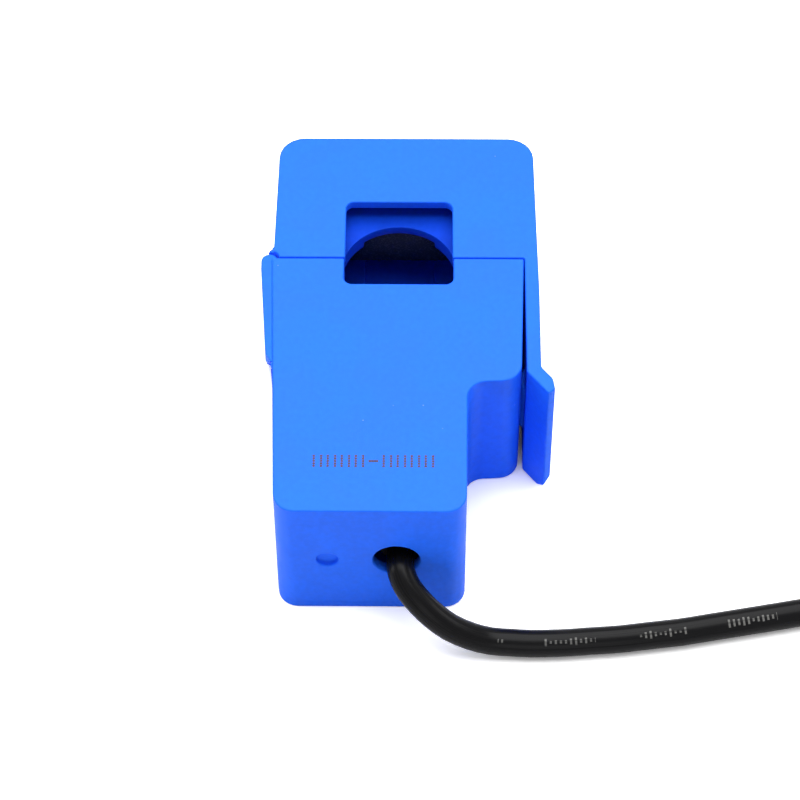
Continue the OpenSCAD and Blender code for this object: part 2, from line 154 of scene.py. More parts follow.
class CoreSettings(bpy.types.PropertyGroup):
    """Sizes and colours of the core and its winding."""

    ferrite: colour("Ferrite", "Colour of the fired core", (0.030, 0.031, 0.035))
    copper: colour("Enamel", "Colour of the enamelled wire", (0.42, 0.13, 0.045))
    turns: number("Turns", "Turns in the winding's outer layer", 26, 8, 60)


class StageSettings(bpy.types.PropertyGroup):
    """Camera and floor."""

    lens: bpy.props.FloatProperty(
        name="Lens", description="Focal length on a 36 mm sensor", default=137.3, min=20, max=300,
        subtype="DISTANCE_CAMERA",
    )
    distance: length("Distance", "From the camera to the casing's middle", 0.3745, 0.1, 2.0)
    elevation: angle("Elevation", "Height of the camera above the table", 53.13)
    turn: angle("Turn", "Turn of the part under the camera", -0.69)
    roll: angle("Roll", "Roll of the camera", 0.29)
    floor: colour("Floor", "Colour of the table", (0.90, 0.90, 0.91))


SETTINGS = {"casing": CasingSettings, "lead": LeadSettings, "core": CoreSettings, "stage": StageSettings}


def settings(name):
    """One group of settings, kept on the scene."""
    return getattr(bpy.context.scene, "transformer_" + name)


# ---- shader building ----
def add(tree, kind, inputs=None, **attributes):
    """A new node with attributes set and inputs set or linked."""
    node = tree.nodes.new(kind)
    for key, value in attributes.items():
        setattr(node, key, value)
    for key, value in (inputs or {}).items():
        if isinstance(value, bpy.types.NodeSocket):
            tree.links.new(value, node.inputs[key])
        else:
            node.inputs[key].default_value = value
    return node


def calc(tree, operation, first, second=0.0):
    """The result of a sum, a product or a comparison."""
    return add(tree, "ShaderNodeMath", {0: first, 1: second}, operation=operation).outputs[0]


def ranged(tree, value, source, target):
    """A value carried from one range into another."""
    (low, high), (first, last) = source, target
    return add(tree, "ShaderNodeMapRange", {
        "Value": value, "From Min": low, "From Max": high, "To Min": first, "To Max": last,
    }).outputs["Result"]


def noise(tree, place, scale, detail, distortion=0.0):
    """A noise value; the scale is in features per metre."""
    return add(tree, "ShaderNodeTexNoise", {
        "Vector": place, "Scale": scale, "Detail": detail, "Distortion": distortion,
    }).outputs["Fac"]


def mixed(tree, share, first, second):
    """The first colour, with a share of the second."""
    return add(tree, "ShaderNodeMixRGB", {"Fac": share, "Color1": first, "Color2": second}).outputs["Color"]


def shader_group(name, inputs, outputs):
    """An empty shader node group with named float or colour sockets."""
    tree = bpy.data.node_groups.new(name, "ShaderNodeTree")
    for label, default in inputs:
        kind = "NodeSocketColor" if hasattr(default, "__len__") else "NodeSocketFloat"
        tree.interface.new_socket(name=label, in_out="INPUT", socket_type=kind).default_value = default
    for label in outputs:
        kind = "NodeSocketColor" if label == "Colour" else "NodeSocketFloat"
        tree.interface.new_socket(name=label, in_out="OUTPUT", socket_type=kind)
    return tree, tree.nodes.new("NodeGroupInput").outputs, tree.nodes.new("NodeGroupOutput").inputs


def moulded_grain():
    """Fine even texture of a spark-eroded mould, with faint flow marks in the colour."""
    if "Moulded grain" in bpy.data.node_groups:
        return bpy.data.node_groups["Moulded grain"]
    tree, given, out = shader_group(
        "Moulded grain",
        [("Colour", (0.5, 0.5, 0.5, 1.0)), ("Grain size", 3500.0), ("Variation", 0.06), ("Dust", 0.3)],
        ["Colour", "Height", "Roughness"],
    )
    flow_size, mottle_size, speck_size = 140.0, 1500.0, 900.0  # features per metre
    dark_sum, light_sum, smoothest, dullest = 0.75, 1.25, 0.40, 0.52
    speck_reach, speck_chance, speck_colour = 0.11, 0.12, (0.7, 0.78, 0.9, 1.0)
    place = add(tree, "ShaderNodeTexCoord").outputs["Object"]
    flow = noise(tree, place, flow_size, 2.0, 0.6)
    both = calc(tree, "ADD", flow, noise(tree, place, mottle_size, 2.0))
    darkest = calc(tree, "SUBTRACT", 1.0, given["Variation"])
    tone = ranged(tree, both, (dark_sum, light_sum), (darkest, 1.0))
    tinted = add(tree, "ShaderNodeVectorMath", {0: given["Colour"], "Scale": tone}, operation="SCALE")
    specks = add(tree, "ShaderNodeTexVoronoi", {"Vector": place, "Scale": speck_size, "Randomness": 1.0})
    near = ranged(tree, specks.outputs["Distance"], (0.0, speck_reach), (1.0, 0.0))
    rare = calc(tree, "GREATER_THAN", specks.outputs["Color"], 1 - speck_chance)
    dust = calc(tree, "MULTIPLY", calc(tree, "MULTIPLY", near, rare), given["Dust"])
    tree.links.new(mixed(tree, dust, tinted.outputs["Vector"], speck_colour), out["Colour"])
    tree.links.new(noise(tree, place, given["Grain size"], 3.0), out["Height"])
    tree.links.new(ranged(tree, flow, (0.25, 0.75), (smoothest, dullest)), out["Roughness"])
    return tree


def speckle():
    """Two-tone mineral or powder speckle, with a height for its pits."""
    if "Speckle" in bpy.data.node_groups:
        return bpy.data.node_groups["Speckle"]
    tree, given, out = shader_group(
        "Speckle",
        [("Dark", (0.1, 0.1, 0.1, 1.0)), ("Light", (0.2, 0.2, 0.2, 1.0)), ("Size", 2500.0), ("Cover", 0.5)],
        ["Colour", "Height"],
    )
    softness = 0.12  # of the edge between the two tones
    place = add(tree, "ShaderNodeTexCoord").outputs["Object"]
    pits = noise(tree, place, given["Size"], 4.0)
    mask = ranged(tree, pits, (given["Cover"], calc(tree, "ADD", given["Cover"], softness)), (0.0, 1.0))
    tree.links.new(mixed(tree, mask, given["Dark"], given["Light"]), out["Colour"])
    tree.links.new(pits, out["Height"])
    return tree


def new_material(name, **sockets):
    """A material with one Principled shader; returns it with its tree and shader."""
    made = bpy.data.materials.new(name)
    made.use_nodes = True
    shader = made.node_tree.nodes["Principled BSDF"]
    for key, value in sockets.items():
        shader.inputs[key.replace("_", " ")].default_value = value
    return made, made.node_tree, shader


def bump(tree, shader, height, strength, distance):
    """Feeds a height into the shader's normal."""
    node = add(tree, "ShaderNodeBump", {"Strength": strength, "Distance": distance, "Height": height})
    tree.links.new(node.outputs["Normal"], shader.inputs["Normal"])


def rgba(value):
    """A colour with full alpha."""
    return (*value, 1.0)


def cover(tree, shader, group, strength, inputs):
    """Drives a shader's colour and normal by a node group with inputs of its own."""
    node = add(tree, "ShaderNodeGroup", inputs, node_tree=group)
    tree.links.new(node.outputs["Colour"], shader.inputs["Base Color"])
    bump(tree, shader, node.outputs["Height"], strength, GRAIN_DEPTH)
    return node


def plastic(name, base, grain_size, strength, variation, dust=0.0, vary_gloss=True, **sockets):
    """Moulded plastic in one of the part's colours."""
    made, tree, shader = new_material(name, **sockets)
    grain = cover(tree, shader, moulded_grain(), strength, {
        "Colour": rgba(base), "Grain size": grain_size, "Variation": variation, "Dust": dust,
    })
    if vary_gloss:
        tree.links.new(grain.outputs["Roughness"], shader.inputs["Roughness"])
    return made


def blue(name, base, variation, dust, specular):
    """The casing's plastic, or its darker copy that paints the shade inside the window, with its own grain."""
    return plastic(name, base, 3200.0, settings("casing").grain, variation, dust, Specular_IOR_Level=specular)


def speckled(name, dark, light, size, share, strength, **sockets):
    """Ferrite, foam, enamel, solder or other surface with a fine two-tone speckle."""
    made, tree, shader = new_material(name, **sockets)
    cover(tree, shader, speckle(), strength, {
        "Dark": rgba(dark), "Light": rgba(light), "Size": size, "Cover": share,
    })
    return made


def jacket_material():
    """Black jacket: long faint drawing streaks and a row of pale printed ticks, by the lead's own UV map."""
    lead = settings("lead")
    tick_rate, tick_width = 1700.0, 0.42  # ticks per metre, and the printed share of each
    word_rate, word_width = 92.0, 0.55  # groups of ticks per metre, and the printed share of each
    low_tick, high_tick = 0.012, 0.05  # shares of the way round
    print_line, print_start = 0.28, 0.016  # share of the way round, and metres along
    most_worn, least_worn, smoothest, dullest = 0.1, 0.6, 0.22, 0.34
    made, tree, shader = new_material("Lead jacket", Specular_IOR_Level=0.09)
    uv = add(tree, "ShaderNodeUVMap", uv_map="along").outputs["UV"]
    split = add(tree, "ShaderNodeSeparateXYZ", {0: uv})
    around, along = split.outputs["X"], split.outputs["Y"]
    streak_at = add(tree, "ShaderNodeMapping", {"Vector": uv, "Scale": (40.0, 30.0, 1.0)})
    streak = noise(tree, streak_at.outputs["Vector"], 1.0, 3.0)
    beat = calc(tree, "MULTIPLY", along, tick_rate)
    chance = add(tree, "ShaderNodeTexWhiteNoise", {"W": calc(tree, "FLOOR", beat)}, noise_dimensions="1D")
    height = ranged(tree, chance.outputs["Value"], (0.0, 1.0), (low_tick, high_tick))
    slow = calc(tree, "MULTIPLY", along, word_rate)
    away = calc(tree, "ABSOLUTE", calc(tree, "SUBTRACT", around, print_line))
    shown = ranged(tree, streak, (0.35, 0.6), (most_worn, least_worn))
    for mask in (
        calc(tree, "LESS_THAN", calc(tree, "FRACT", beat), tick_width),
        calc(tree, "LESS_THAN", calc(tree, "FRACT", slow), word_width),
        calc(tree, "LESS_THAN", away, height),
        calc(tree, "GREATER_THAN", along, print_start),
    ):
        shown = calc(tree, "MULTIPLY", shown, mask)
    tint = mixed(tree, shown, rgba(lead.jacket), rgba(lead.print_colour))
    tree.links.new(tint, shader.inputs["Base Color"])
    tree.links.new(ranged(tree, streak, (0.3, 0.7), (smoothest, dullest)), shader.inputs["Roughness"])
    bump(tree, shader, streak, 0.25, 0.03 * MM)
    return made


MATERIALS = {}


def finish(slot):
    """The finish for one of the record's material slots, made once."""
    if slot not in MATERIALS:
        MATERIALS[slot] = FINISHES[slot]()
    return MATERIALS[slot]


# plastic: colour, grains per metre, depth of the grain, variation of the colour, dust
# speckled: dark and light colour, specks per metre, cover of the dark colour, depth of the pits
FINISHES = {
    "casing_blue": lambda: blue("Casing plastic", settings("casing").plastic, 0.10, 0.22, 0.1),
    # the casing blue made darker, painted shade for the webs inside the window
    "shaded_inner_blue": lambda: blue("Shaded inner plastic", settings("casing").shaded_inner_plastic, 0.12, 0.1, 0.03),
    "bobbin_cream": lambda: plastic("Bobbin nylon", (0.78, 0.74, 0.63), 2500.0, 0.15, 0.08),
    "tape_yellow": lambda: plastic(
        "Winding tape", (0.70, 0.43, 0.05), 500.0, 0.5, 0.12, vary_gloss=False, Roughness=0.22
    ),
    "diode_black": lambda: plastic("Diode epoxy", (0.018, 0.018, 0.02), 4200.0, 0.4, 0.1),
    "wire_white": lambda: plastic("White insulation", (0.80, 0.79, 0.75), 1500.0, 0.1, 0.05),
    "wire_red": lambda: plastic("Red insulation", (0.50, 0.02, 0.015), 1500.0, 0.1, 0.08),
    "tie_white": lambda: plastic("Tie nylon", (0.78, 0.77, 0.72), 1400.0, 0.2, 0.07),
    "plug_black": lambda: plastic(
        "Plug moulding", (0.007, 0.007, 0.008), 2600.0, 0.35, 0.12, Specular_IOR_Level=0.16
    ),
    "cable_black": jacket_material,
    "steel": lambda: speckled(
        "Drawn steel", (0.42, 0.43, 0.45), (0.56, 0.57, 0.59), 5000.0, 0.45, 0.1, Metallic=1.0, Roughness=0.3
    ),
    "ferrite": lambda: speckled(
        "Fired ferrite", settings("core").ferrite, (0.075, 0.075, 0.08), 4200.0, 0.52, 0.35, Roughness=0.62
    ),
    "foam_black": lambda: speckled(
        "Foam", (0.012, 0.012, 0.013), (0.04, 0.04, 0.042), 1800.0, 0.5, 0.9, Roughness=0.9
    ),
    "enamelled_copper": lambda: speckled(
        "Enamelled copper", settings("core").copper, (0.52, 0.19, 0.07), 900.0, 0.48, 0.05,
        Metallic=0.6, Roughness=0.25, Coat_Weight=0.5,
    ),
    "board_green": lambda: speckled(
        "Board lacquer", (0.02, 0.13, 0.05), (0.03, 0.17, 0.07), 1500.0, 0.5, 0.2, Roughness=0.35
    ),
    "tinned": lambda: speckled(
        "Tin", (0.50, 0.51, 0.53), (0.66, 0.67, 0.69), 2200.0, 0.45, 0.2, Metallic=1.0, Roughness=0.24
    ),
    "plug_brass": lambda: speckled(
        "Contact plating", settings("lead").plating, (0.90, 0.69, 0.36), 3000.0, 0.5, 0.04,
        Metallic=1.0, Roughness=0.16,
    ),
    "ink": lambda: speckled(
        "Printed ink", settings("casing").ink, (0.06, 0.02, 0.07), 5000.0, 0.5, 0.1, Roughness=0.6
    ),
}


# ---- mesh building ----
@contextmanager
def edited(mesh):
    """The mesh opened for editing, and written back at the end."""
    bm = bmesh.new()
    bm.from_mesh(mesh)
    yield bm
    bm.to_mesh(mesh)
    bm.free()


def linked(name, data):
    """A new object in the scene."""
    obj = bpy.data.objects.new(name, data)
    bpy.context.scene.collection.objects.link(obj)
    return obj


def as_mesh(obj):
    """The object with its modifiers, as a plain mesh."""
    bpy.context.view_layer.update()
    mesh = bpy.data.meshes.new_from_object(obj.evaluated_get(bpy.context.evaluated_depsgraph_get()))
    if not mesh.polygons:
        raise RuntimeError(obj.name + " came out empty")
    return mesh


def piece(name, mesh, body, slot, stands_for, smooth):
    """Puts a finished mesh in the scene: its finish, the body it rides on and the nodes it stands for."""
    obj = linked(name, mesh)
    mesh.materials.clear()
    mesh.materials.append(finish(slot))
    shade(mesh, smooth)
    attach(obj, body)
    if stands_for:
        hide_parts(*stands_for)
    return obj


def shade(mesh, smooth):
    """Smooth faces, with edges sharper than the angle, in degrees, kept sharp."""
    limit = math.radians(smooth)
    with edited(mesh) as bm:
        for face in bm.faces:
            face.smooth = True
        for edge in bm.edges:
            edge.smooth = len(edge.link_faces) == 2 and edge.calc_face_angle(0.0) < limit


def mesh_from(name, vertices, faces):
    """A mesh from lists of vertices and faces, with outward normals."""
    mesh = bpy.data.meshes.new(name)
    mesh.from_pydata([tuple(v) for v in vertices], [], faces)
    with edited(mesh) as bm:
        bmesh.ops.remove_doubles(bm, verts=bm.verts, dist=TOUCHING)
        bmesh.ops.recalc_face_normals(bm, faces=bm.faces)
    return mesh


def solid_of(node, name, weld=WELD):
    """The node's solid as a welded mesh of its own."""
    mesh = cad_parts[node].data.copy()
    mesh.name = name
    with edited(mesh) as bm:
        bmesh.ops.remove_doubles(bm, verts=bm.verts, dist=weld)
    return mesh


def round_edges(mesh, radius, segments):
    """Rounds the mesh's sharp edges; points thrown off the solid at tight corners go back to its surface."""
    with edited(mesh) as bm:
        surface = BVHTree.FromBMesh(bm)
        low = [min(vertex.co[axis] for vertex in bm.verts) for axis in range(3)]
        high = [max(vertex.co[axis] for vertex in bm.verts) for axis in range(3)]
        limit = math.radians(SHARP)
        edges = [edge for edge in bm.edges if edge.is_manifold and edge.calc_face_angle(0.0) > limit]
        bmesh.ops.bevel(
            bm, geom=edges, offset=radius, segments=segments, profile=0.5, affect="EDGES", miter_outer="ARC"
        )
        for vertex in bm.verts:
            near, _normal, _face, gap = surface.find_nearest(vertex.co)
            if gap > THROWN * radius:
                vertex.co = near
            vertex.co = [min(max(vertex.co[axis], low[axis]), high[axis]) for axis in range(3)]


def less(mesh, cutter):
    """The mesh with the cutter's solid taken out of it."""
    whole, tool = linked("whole", mesh), linked("cutter", cutter)
    cut = whole.modifiers.new("Cut", "BOOLEAN")
    cut.operation, cut.solver, cut.object = "DIFFERENCE", "EXACT", tool
    left = as_mesh(whole)
    for obj in (whole, tool):
        bpy.data.objects.remove(obj)
    with edited(left) as bm:
        bmesh.ops.remove_doubles(bm, verts=bm.verts, dist=SLIVER)
        bmesh.ops.triangulate(bm, faces=bm.faces)
        bmesh.ops.dissolve_degenerate(bm, edges=bm.edges, dist=SLIVER)
    return left


def moulding(node, body, slot, radius, segments=3, cutter=None):
    """A moulded copy of the node's solid with its edges rounded and its flat faces shaded flat."""
    name = node + "_moulding"
    mesh = less(solid_of(node, name, CUT_WELD), cutter) if cutter else solid_of(node, name)
    round_edges(mesh, radius, segments)
    obj = piece(name, mesh, body, slot, [node], smooth=42)
    flat = obj.modifiers.new("Flat faces", "WEIGHTED_NORMAL")
    flat.keep_sharp = True
    flat.weight = 80


def dress(node, slot):
    """Gives a carried-over node its finish."""
    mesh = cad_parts[node].data
    mesh.materials.clear()
    mesh.materials.append(finish(slot))


def smooth_line(points, step):
    """An even, smooth line through the points, by Catmull-Rom curves."""
    line = []
    for i in range(len(points) - 1):
        before, a, b, after = points[max(i - 1, 0)], points[i], points[i + 1], points[min(i + 2, len(points) - 1)]
        parts = max(2, int((b - a).length / step))
        for k in range(parts):
            t = k / parts
            line.append(
                0.5 * ((2 * a) + (b - before) * t + (2 * before - 5 * a + 4 * b - after) * t * t
                       + (3 * a - before - 3 * b + after) * t ** 3)
            )
    line.append(points[-1])
    return line


def ring_faces(rings, sides):
    """Faces between each ring of points and the next."""
    return [
        (i * sides + k, i * sides + (k + 1) % sides, (i + 1) * sides + (k + 1) % sides, (i + 1) * sides + k)
        for i in range(rings - 1) for k in range(sides)
    ]


def swept(name, line, radius, sides):
    """A closed round tube along a line, with a UV map: round it in U, metres along it in V."""
    vertices, travelled = [], [0.0]
    tangent = (line[1] - line[0]).normalized()
    across = tangent.cross(Vector((0, 0, 1))).normalized()
    for i, point in enumerate(line):
        new = (line[min(i + 1, len(line) - 1)] - line[max(i - 1, 0)]).normalized()
        across = (tangent.rotation_difference(new) @ across).normalized()
        across = (across - new * across.dot(new)).normalized()
        tangent = new
        up = across.cross(tangent)
        for k in range(sides):
            a = 2 * math.pi * k / sides
            vertices.append(tuple(point + radius * (math.cos(a) * across + math.sin(a) * up)))
        if i:
            travelled.append(travelled[-1] + (point - line[i - 1]).length)
    faces = ring_faces(len(line), sides)
    faces.append(tuple(range(sides - 1, -1, -1)))
    faces.append(tuple((len(line) - 1) * sides + k for k in range(sides)))
    charts = [
        [(k / sides, low), ((k + 1) / sides, low), ((k + 1) / sides, high), (k / sides, high)]
        for low, high in zip(travelled, travelled[1:]) for k in range(sides)
    ]
    charts += [[(0.0, 0.0)] * sides, [(0.0, travelled[-1])] * sides]
    mesh = bpy.data.meshes.new(name)
    mesh.from_pydata(vertices, [], faces)
    along = mesh.uv_layers.new(name="along")
    for loop, uv in zip(along.data, [uv for chart in charts for uv in chart]):
        loop.uv = uv
    with edited(mesh) as bm:
        bmesh.ops.recalc_face_normals(bm, faces=bm.faces)
    return mesh


def turned(name, profile, centre, segments=64):
    """A solid turned round a line parallel to Y, from (place along Y, radius); both ends lie on the line."""
    vertices = []
    for along, radius in profile:
        for k in range(segments):
            a = 2 * math.pi * k / segments
            vertices.append((centre.x + radius * math.cos(a), along, centre.z + radius * math.sin(a)))
    return mesh_from(name, vertices, ring_faces(len(profile), segments))


def arc(centre, radius, start, end, steps=6):
    """Points of a flat arc from one direction to another, in degrees."""
    turns = [math.radians(start + (end - start) * i / steps) for i in range(steps + 1)]
    return [(centre[0] + radius * math.cos(a), centre[1] + radius * math.sin(a)) for a in turns]


def moved(mesh, offset):
    """The mesh with an offset applied."""
    mesh.transform(Matrix.Translation(offset))
    return mesh


def joined(name, meshes):
    """Several meshes as one."""
    whole = bpy.data.meshes.new(name)
    with edited(whole) as bm:
        for mesh in meshes:
            bm.from_mesh(mesh)
    return whole


# ---- geometry nodes ----
def geometry_tree(name, inputs):
    """A new geometry tree with named inputs and one geometry output; returns it, its inputs and its output node."""
    tree = bpy.data.node_groups.new(name, "GeometryNodeTree")
    tree.is_modifier = True
    for label, kind, default in inputs:
        socket = tree.interface.new_socket(name=label, in_out="INPUT", socket_type="NodeSocket" + kind)
        if default is not None:
            socket.default_value = default
    tree.interface.new_socket(name="Geometry", in_out="OUTPUT", socket_type="NodeSocketGeometry")
    return tree, tree.nodes.new("NodeGroupInput").outputs, tree.nodes.new("NodeGroupOutput")


def grown(name, tree, **values):
    """Runs a geometry tree with named inputs and returns its result as a plain mesh."""
    holder = linked(name, bpy.data.meshes.new(name))
    modifier = holder.modifiers.new(name, "NODES")
    modifier.node_group = tree
    wanted = {key.replace("_", " "): value for key, value in values.items()}
    for item in tree.interface.items_tree:
        if item.in_out == "INPUT" and item.name in wanted:
            modifier[item.identifier] = wanted[item.name]
    mesh = as_mesh(holder)
    bpy.data.objects.remove(holder)
    return mesh


def close_tree(tree, geometry, material, out):
    """Ends a tree in Realize Instances and Set Material."""
    real = add(tree, "GeometryNodeRealizeInstances", {"Geometry": geometry})
    painted = add(tree, "GeometryNodeSetMaterial", {"Geometry": real.outputs["Geometry"], "Material": material})
    tree.links.new(painted.outputs["Geometry"], out.inputs["Geometry"])
    return tree


def vector(tree, **parts):
    """A vector from its X, Y and Z."""
    return add(tree, "ShaderNodeCombineXYZ", parts).outputs[0]


def repeated(tree, count, offset, shape, **more):
    """Copies of a shape in a row, each an offset further on."""
    row = add(tree, "GeometryNodeMeshLine", {"Count": count, "Offset": offset})
    return add(tree, "GeometryNodeInstanceOnPoints", {
        "Points": row.outputs["Mesh"], "Instance": shape, **more,
    }).outputs["Instances"]


def dot_matrix_tree():
    """A line of printed marks, each a small block of round dots."""
    tree, given, out = geometry_tree("Dot marks", [
        ("Marks", "Int", 4), ("Mark pitch", "Float", 0.0016), ("Columns", "Int", 2), ("Rows", "Int", 4),
        ("Column pitch", "Float", 0.0008), ("Dot pitch", "Float", 0.0004), ("Dot radius", "Float", 0.00015),
        ("Thickness", "Float", 0.00002), ("Material", "Material", None),
    ])
    dot = add(tree, "GeometryNodeMeshCylinder", {
        "Vertices": 12, "Radius": given["Dot radius"], "Depth": given["Thickness"],
    })
    column = repeated(tree, given["Rows"], vector(tree, Y=given["Dot pitch"]), dot.outputs["Mesh"])
    block = repeated(tree, given["Columns"], vector(tree, X=given["Column pitch"]), column)
    marks = repeated(tree, given["Marks"], vector(tree, X=given["Mark pitch"]), block)
    return close_tree(tree, marks, given["Material"], out)


def wound_turns_tree():
    """Turns of round wire, side by side along X, each a rounded loop round the core."""
    tree, given, out = geometry_tree("Wound turns", [
        ("Turns", "Int", 26), ("Pitch", "Float", 0.0005), ("Height", "Float", 0.01), ("Depth", "Float", 0.015),
        ("Corner", "Float", 0.001), ("Wire radius", "Float", 0.00025), ("Material", "Material", None),
    ])
    loop = add(tree, "GeometryNodeCurvePrimitiveQuadrilateral", {"Width": given["Depth"], "Height": given["Height"]})
    soft = add(tree, "GeometryNodeFilletCurve", {
        "Curve": loop.outputs["Curve"], "Count": 4, "Radius": given["Corner"],
    }, mode="POLY")
    wire = add(tree, "GeometryNodeCurvePrimitiveCircle", {"Resolution": 8, "Radius": given["Wire radius"]})
    turn = add(tree, "GeometryNodeCurveToMesh", {
        "Curve": soft.outputs["Curve"], "Profile Curve": wire.outputs["Curve"],
    })
    wound = repeated(
        tree, given["Turns"], vector(tree, X=given["Pitch"]), turn.outputs["Mesh"], Rotation=(0.0, math.pi / 2, 0.0)
    )
    return close_tree(tree, wound, given["Material"], out)


def grip_ribs_tree():
    """Rounded ribs round a grip whose axis is Y."""
    tree, given, out = geometry_tree("Grip ribs", [
        ("Ribs", "Int", 14), ("Grip radius", "Float", 0.004), ("Rib length", "Float", 0.012),
        ("Rib radius", "Float", 0.0003), ("Material", "Material", None),
    ])
    hoop = add(tree, "GeometryNodeMeshCircle", {"Vertices": given["Ribs"], "Radius": given["Grip radius"]})
    ball = add(tree, "GeometryNodeMeshUVSphere", {"Segments": 12, "Rings": 10, "Radius": 1.0})
    half = calc(tree, "MULTIPLY", given["Rib length"], 0.5)
    rib = add(tree, "GeometryNodeTransform", {
        "Geometry": ball.outputs["Mesh"], "Scale": vector(tree, X=given["Rib radius"], Y=given["Rib radius"], Z=half),
    })
    placed = add(tree, "GeometryNodeInstanceOnPoints", {
        "Points": hoop.outputs["Mesh"], "Instance": rib.outputs["Geometry"],
    })
    laid = add(tree, "GeometryNodeTransform", {
        "Geometry": placed.outputs["Instances"], "Rotation": (-math.pi / 2, 0.0, 0.0),
    })
    return close_tree(tree, laid.outputs["Geometry"], given["Material"], out)


# ---- operators ----
class TRANSFORMER_OT_casing(bpy.types.Operator):
    """Rounds and finishes the body, the cap and the mouldings inside them"""

    bl_idname = "transformer.casing"
    bl_label = "Casing"

    def execute(self, context):
        casing = settings("casing")
        moulding("body_housing", "housing", "casing_blue", casing.edge, cutter=self.strip_end())
        moulding("cap_housing", "cap", "casing_blue", casing.edge)
        moulding("core_cover", "housing", "casing_blue", casing.inner_edge, 2)
        # the carrier's webs take the darker blue, which paints the shade inside the window
        moulding("core_carrier", "cap", "shaded_inner_blue", casing.inner_edge, 2)
        dress("hinge_pin", "steel")
        return {"FINISHED"}

    def strip_end(self):
        """What is taken off the hinge strip's low end, so that it rises on a slant from the front to the barrel."""
        cable_end, side_at_end, side_slope, outer = -28.5, -15.025, -1.3 / 37.5, -18.3  # mm
        profile = [(-7.8, 19.65), (-6.77, 19.65), (6.2, 2.456), (6.2, -1), (-7.8, -1)]  # y and z in mm
        points = [mm(side_at_end + side_slope * (y - cable_end), y, z) for y, z in profile]
        points += [mm(outer, y, z) for y, z in profile]
        count = len(profile)
        ends = [tuple(range(count)), tuple(range(2 * count - 1, count - 1, -1))]
        return mesh_from("strip_end", points, ends + ring_faces(2, count))


class TRANSFORMER_OT_marks(bpy.types.Operator):
    """Prints a plain row of dot marks near the cable end of the face"""

    bl_idname = "transformer.marks"
    bl_label = "Printed marks"

    def execute(self, context):
        casing = settings("casing")
        from_side, from_end, lift = 7.15 * MM, 6.35 * MM, 0.004 * MM
        low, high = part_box("body_housing")
        start = Vector((low.x + from_side, low.y + from_end, high.z + lift))
        tree = dot_matrix_tree()
        dot_radius, dot_height, bar_gap, dash_gap = 0.17 * MM, 0.012 * MM, 0.85 * MM, 0.28 * MM
        dots = dict(Mark_pitch=casing.cell_pitch, Dot_pitch=casing.dot_pitch, Dot_radius=dot_radius,
                    Thickness=dot_height, Material=finish("ink"))
        bars = dict(Marks=4, Columns=2, Rows=5, Column_pitch=bar_gap, **dots)
        dash = dict(Marks=1, Columns=4, Rows=1, Column_pitch=dash_gap, **dots)
        blocks = []
        for kind, cells, rows in ((bars, 0, 0), (dash, 4, 2), (bars, 5, 0)):
            offset = Vector((cells * casing.cell_pitch, rows * casing.dot_pitch, 0))
            blocks.append(moved(grown("marks", tree, **kind), start + offset))
        piece("printed_dots", joined("printed_dots", blocks), "housing", "ink", (), smooth=30)
        return {"FINISHED"}


class TRANSFORMER_OT_core(bpy.types.Operator):
    """Finishes the two ferrite halves, the foam pad, the bobbin, the winding and its tape"""

    bl_idname = "transformer.core"
    bl_label = "Core and winding"

    def execute(self, context):
        core = settings("core")
        for node, body, slot, edge in (
            ("body_core", "housing", "ferrite", 0.2), ("cap_core", "cap", "ferrite", 0.2),
            ("core_pad", "cap", "foam_black", 0.15), ("bobbin", "housing", "bobbin_cream", 0.12),
        ):
            moulding(node, body, slot, edge * MM, 2)
        low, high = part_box("winding")
        radius = (high.x - low.x) / core.turns / 2
        turns = grown(
            "winding_turns", wound_turns_tree(), Turns=core.turns, Pitch=2 * radius,
            Height=high.y - low.y - 2 * radius, Depth=high.z - low.z - 2 * radius, Corner=0.9 * MM,
            Wire_radius=radius, Material=finish("enamelled_copper"),
        )
        centre = (low + high) / 2
        moved(turns, Vector((low.x + radius, centre.y, centre.z)))
        inner = solid_of("winding", "winding_body")
        inner_share = 0.96  # the layers below, just inside the outer turns
        for vertex in inner.vertices:
            vertex.co = centre + (vertex.co - centre) * inner_share
        whole = joined("winding_turns", [turns, inner])
        piece("winding_turns", whole, "housing", "enamelled_copper", ["winding"], smooth=40)
        moulding("winding_tape", "housing", "tape_yellow", 0.08 * MM, 2)
        return {"FINISHED"}


class TRANSFORMER_OT_board(bpy.types.Operator):
    """Finishes the terminal board, the diode, the solder and the wires inside the grip"""

    bl_idname = "transformer.board"
    bl_label = "Board and wires"

    def execute(self, context):
        moulding("terminal_board", "housing", "board_green", 0.05 * MM, 1)
        moulding("surge_diode", "housing", "diode_black", 0.2 * MM, 3)
        for node, slot in (
            ("diode_leads", "tinned"), ("solder_joints", "tinned"), ("winding_leads", "enamelled_copper"),
            ("signal_wire", "wire_white"), ("return_wire", "wire_red"),
        ):
            dress(node, slot)
        moulding("cable_tie", "housing", "plug_black", 0.15 * MM, 2)
        low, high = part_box("inner_cable")
        middle = (low + high) / 2
        line = smooth_line([Vector((middle.x, y, middle.z)) for y in (high.y, middle.y, low.y)], MM)
        mesh = swept("cable_inside", line, (high.x - low.x) / 2, 24)
        piece("cable_inside", mesh, "housing", "cable_black", ["inner_cable"], smooth=40)
        return {"FINISHED"}


def coil_line():
    """The lead's turns: inward along the table, up, then outward on top of the first ones."""
    points = []
    for degrees in range(0, COIL_LAYER, COIL_STEP):
        points.append((degrees, COIL_OUT - COIL_PITCH * degrees / 360, COIL_LOW))
    for degrees in range(0, COIL_LAYER + 1, COIL_STEP):
        rise = min(degrees / CLIMB, 1.0)
        height = COIL_LOW + (COIL_HIGH - COIL_LOW) * (1 - math.cos(math.pi * rise)) / 2
        points.append((degrees, COIL_IN + COIL_PITCH * max(degrees - CLIMB, 0) / 360, height))
    turns = [(math.radians(COIL_START + degrees), radius, height) for degrees, radius, height in points]
    return [COIL_CENTRE + Vector((r * math.cos(a), r * math.sin(a), z)) for a, r, z in turns]


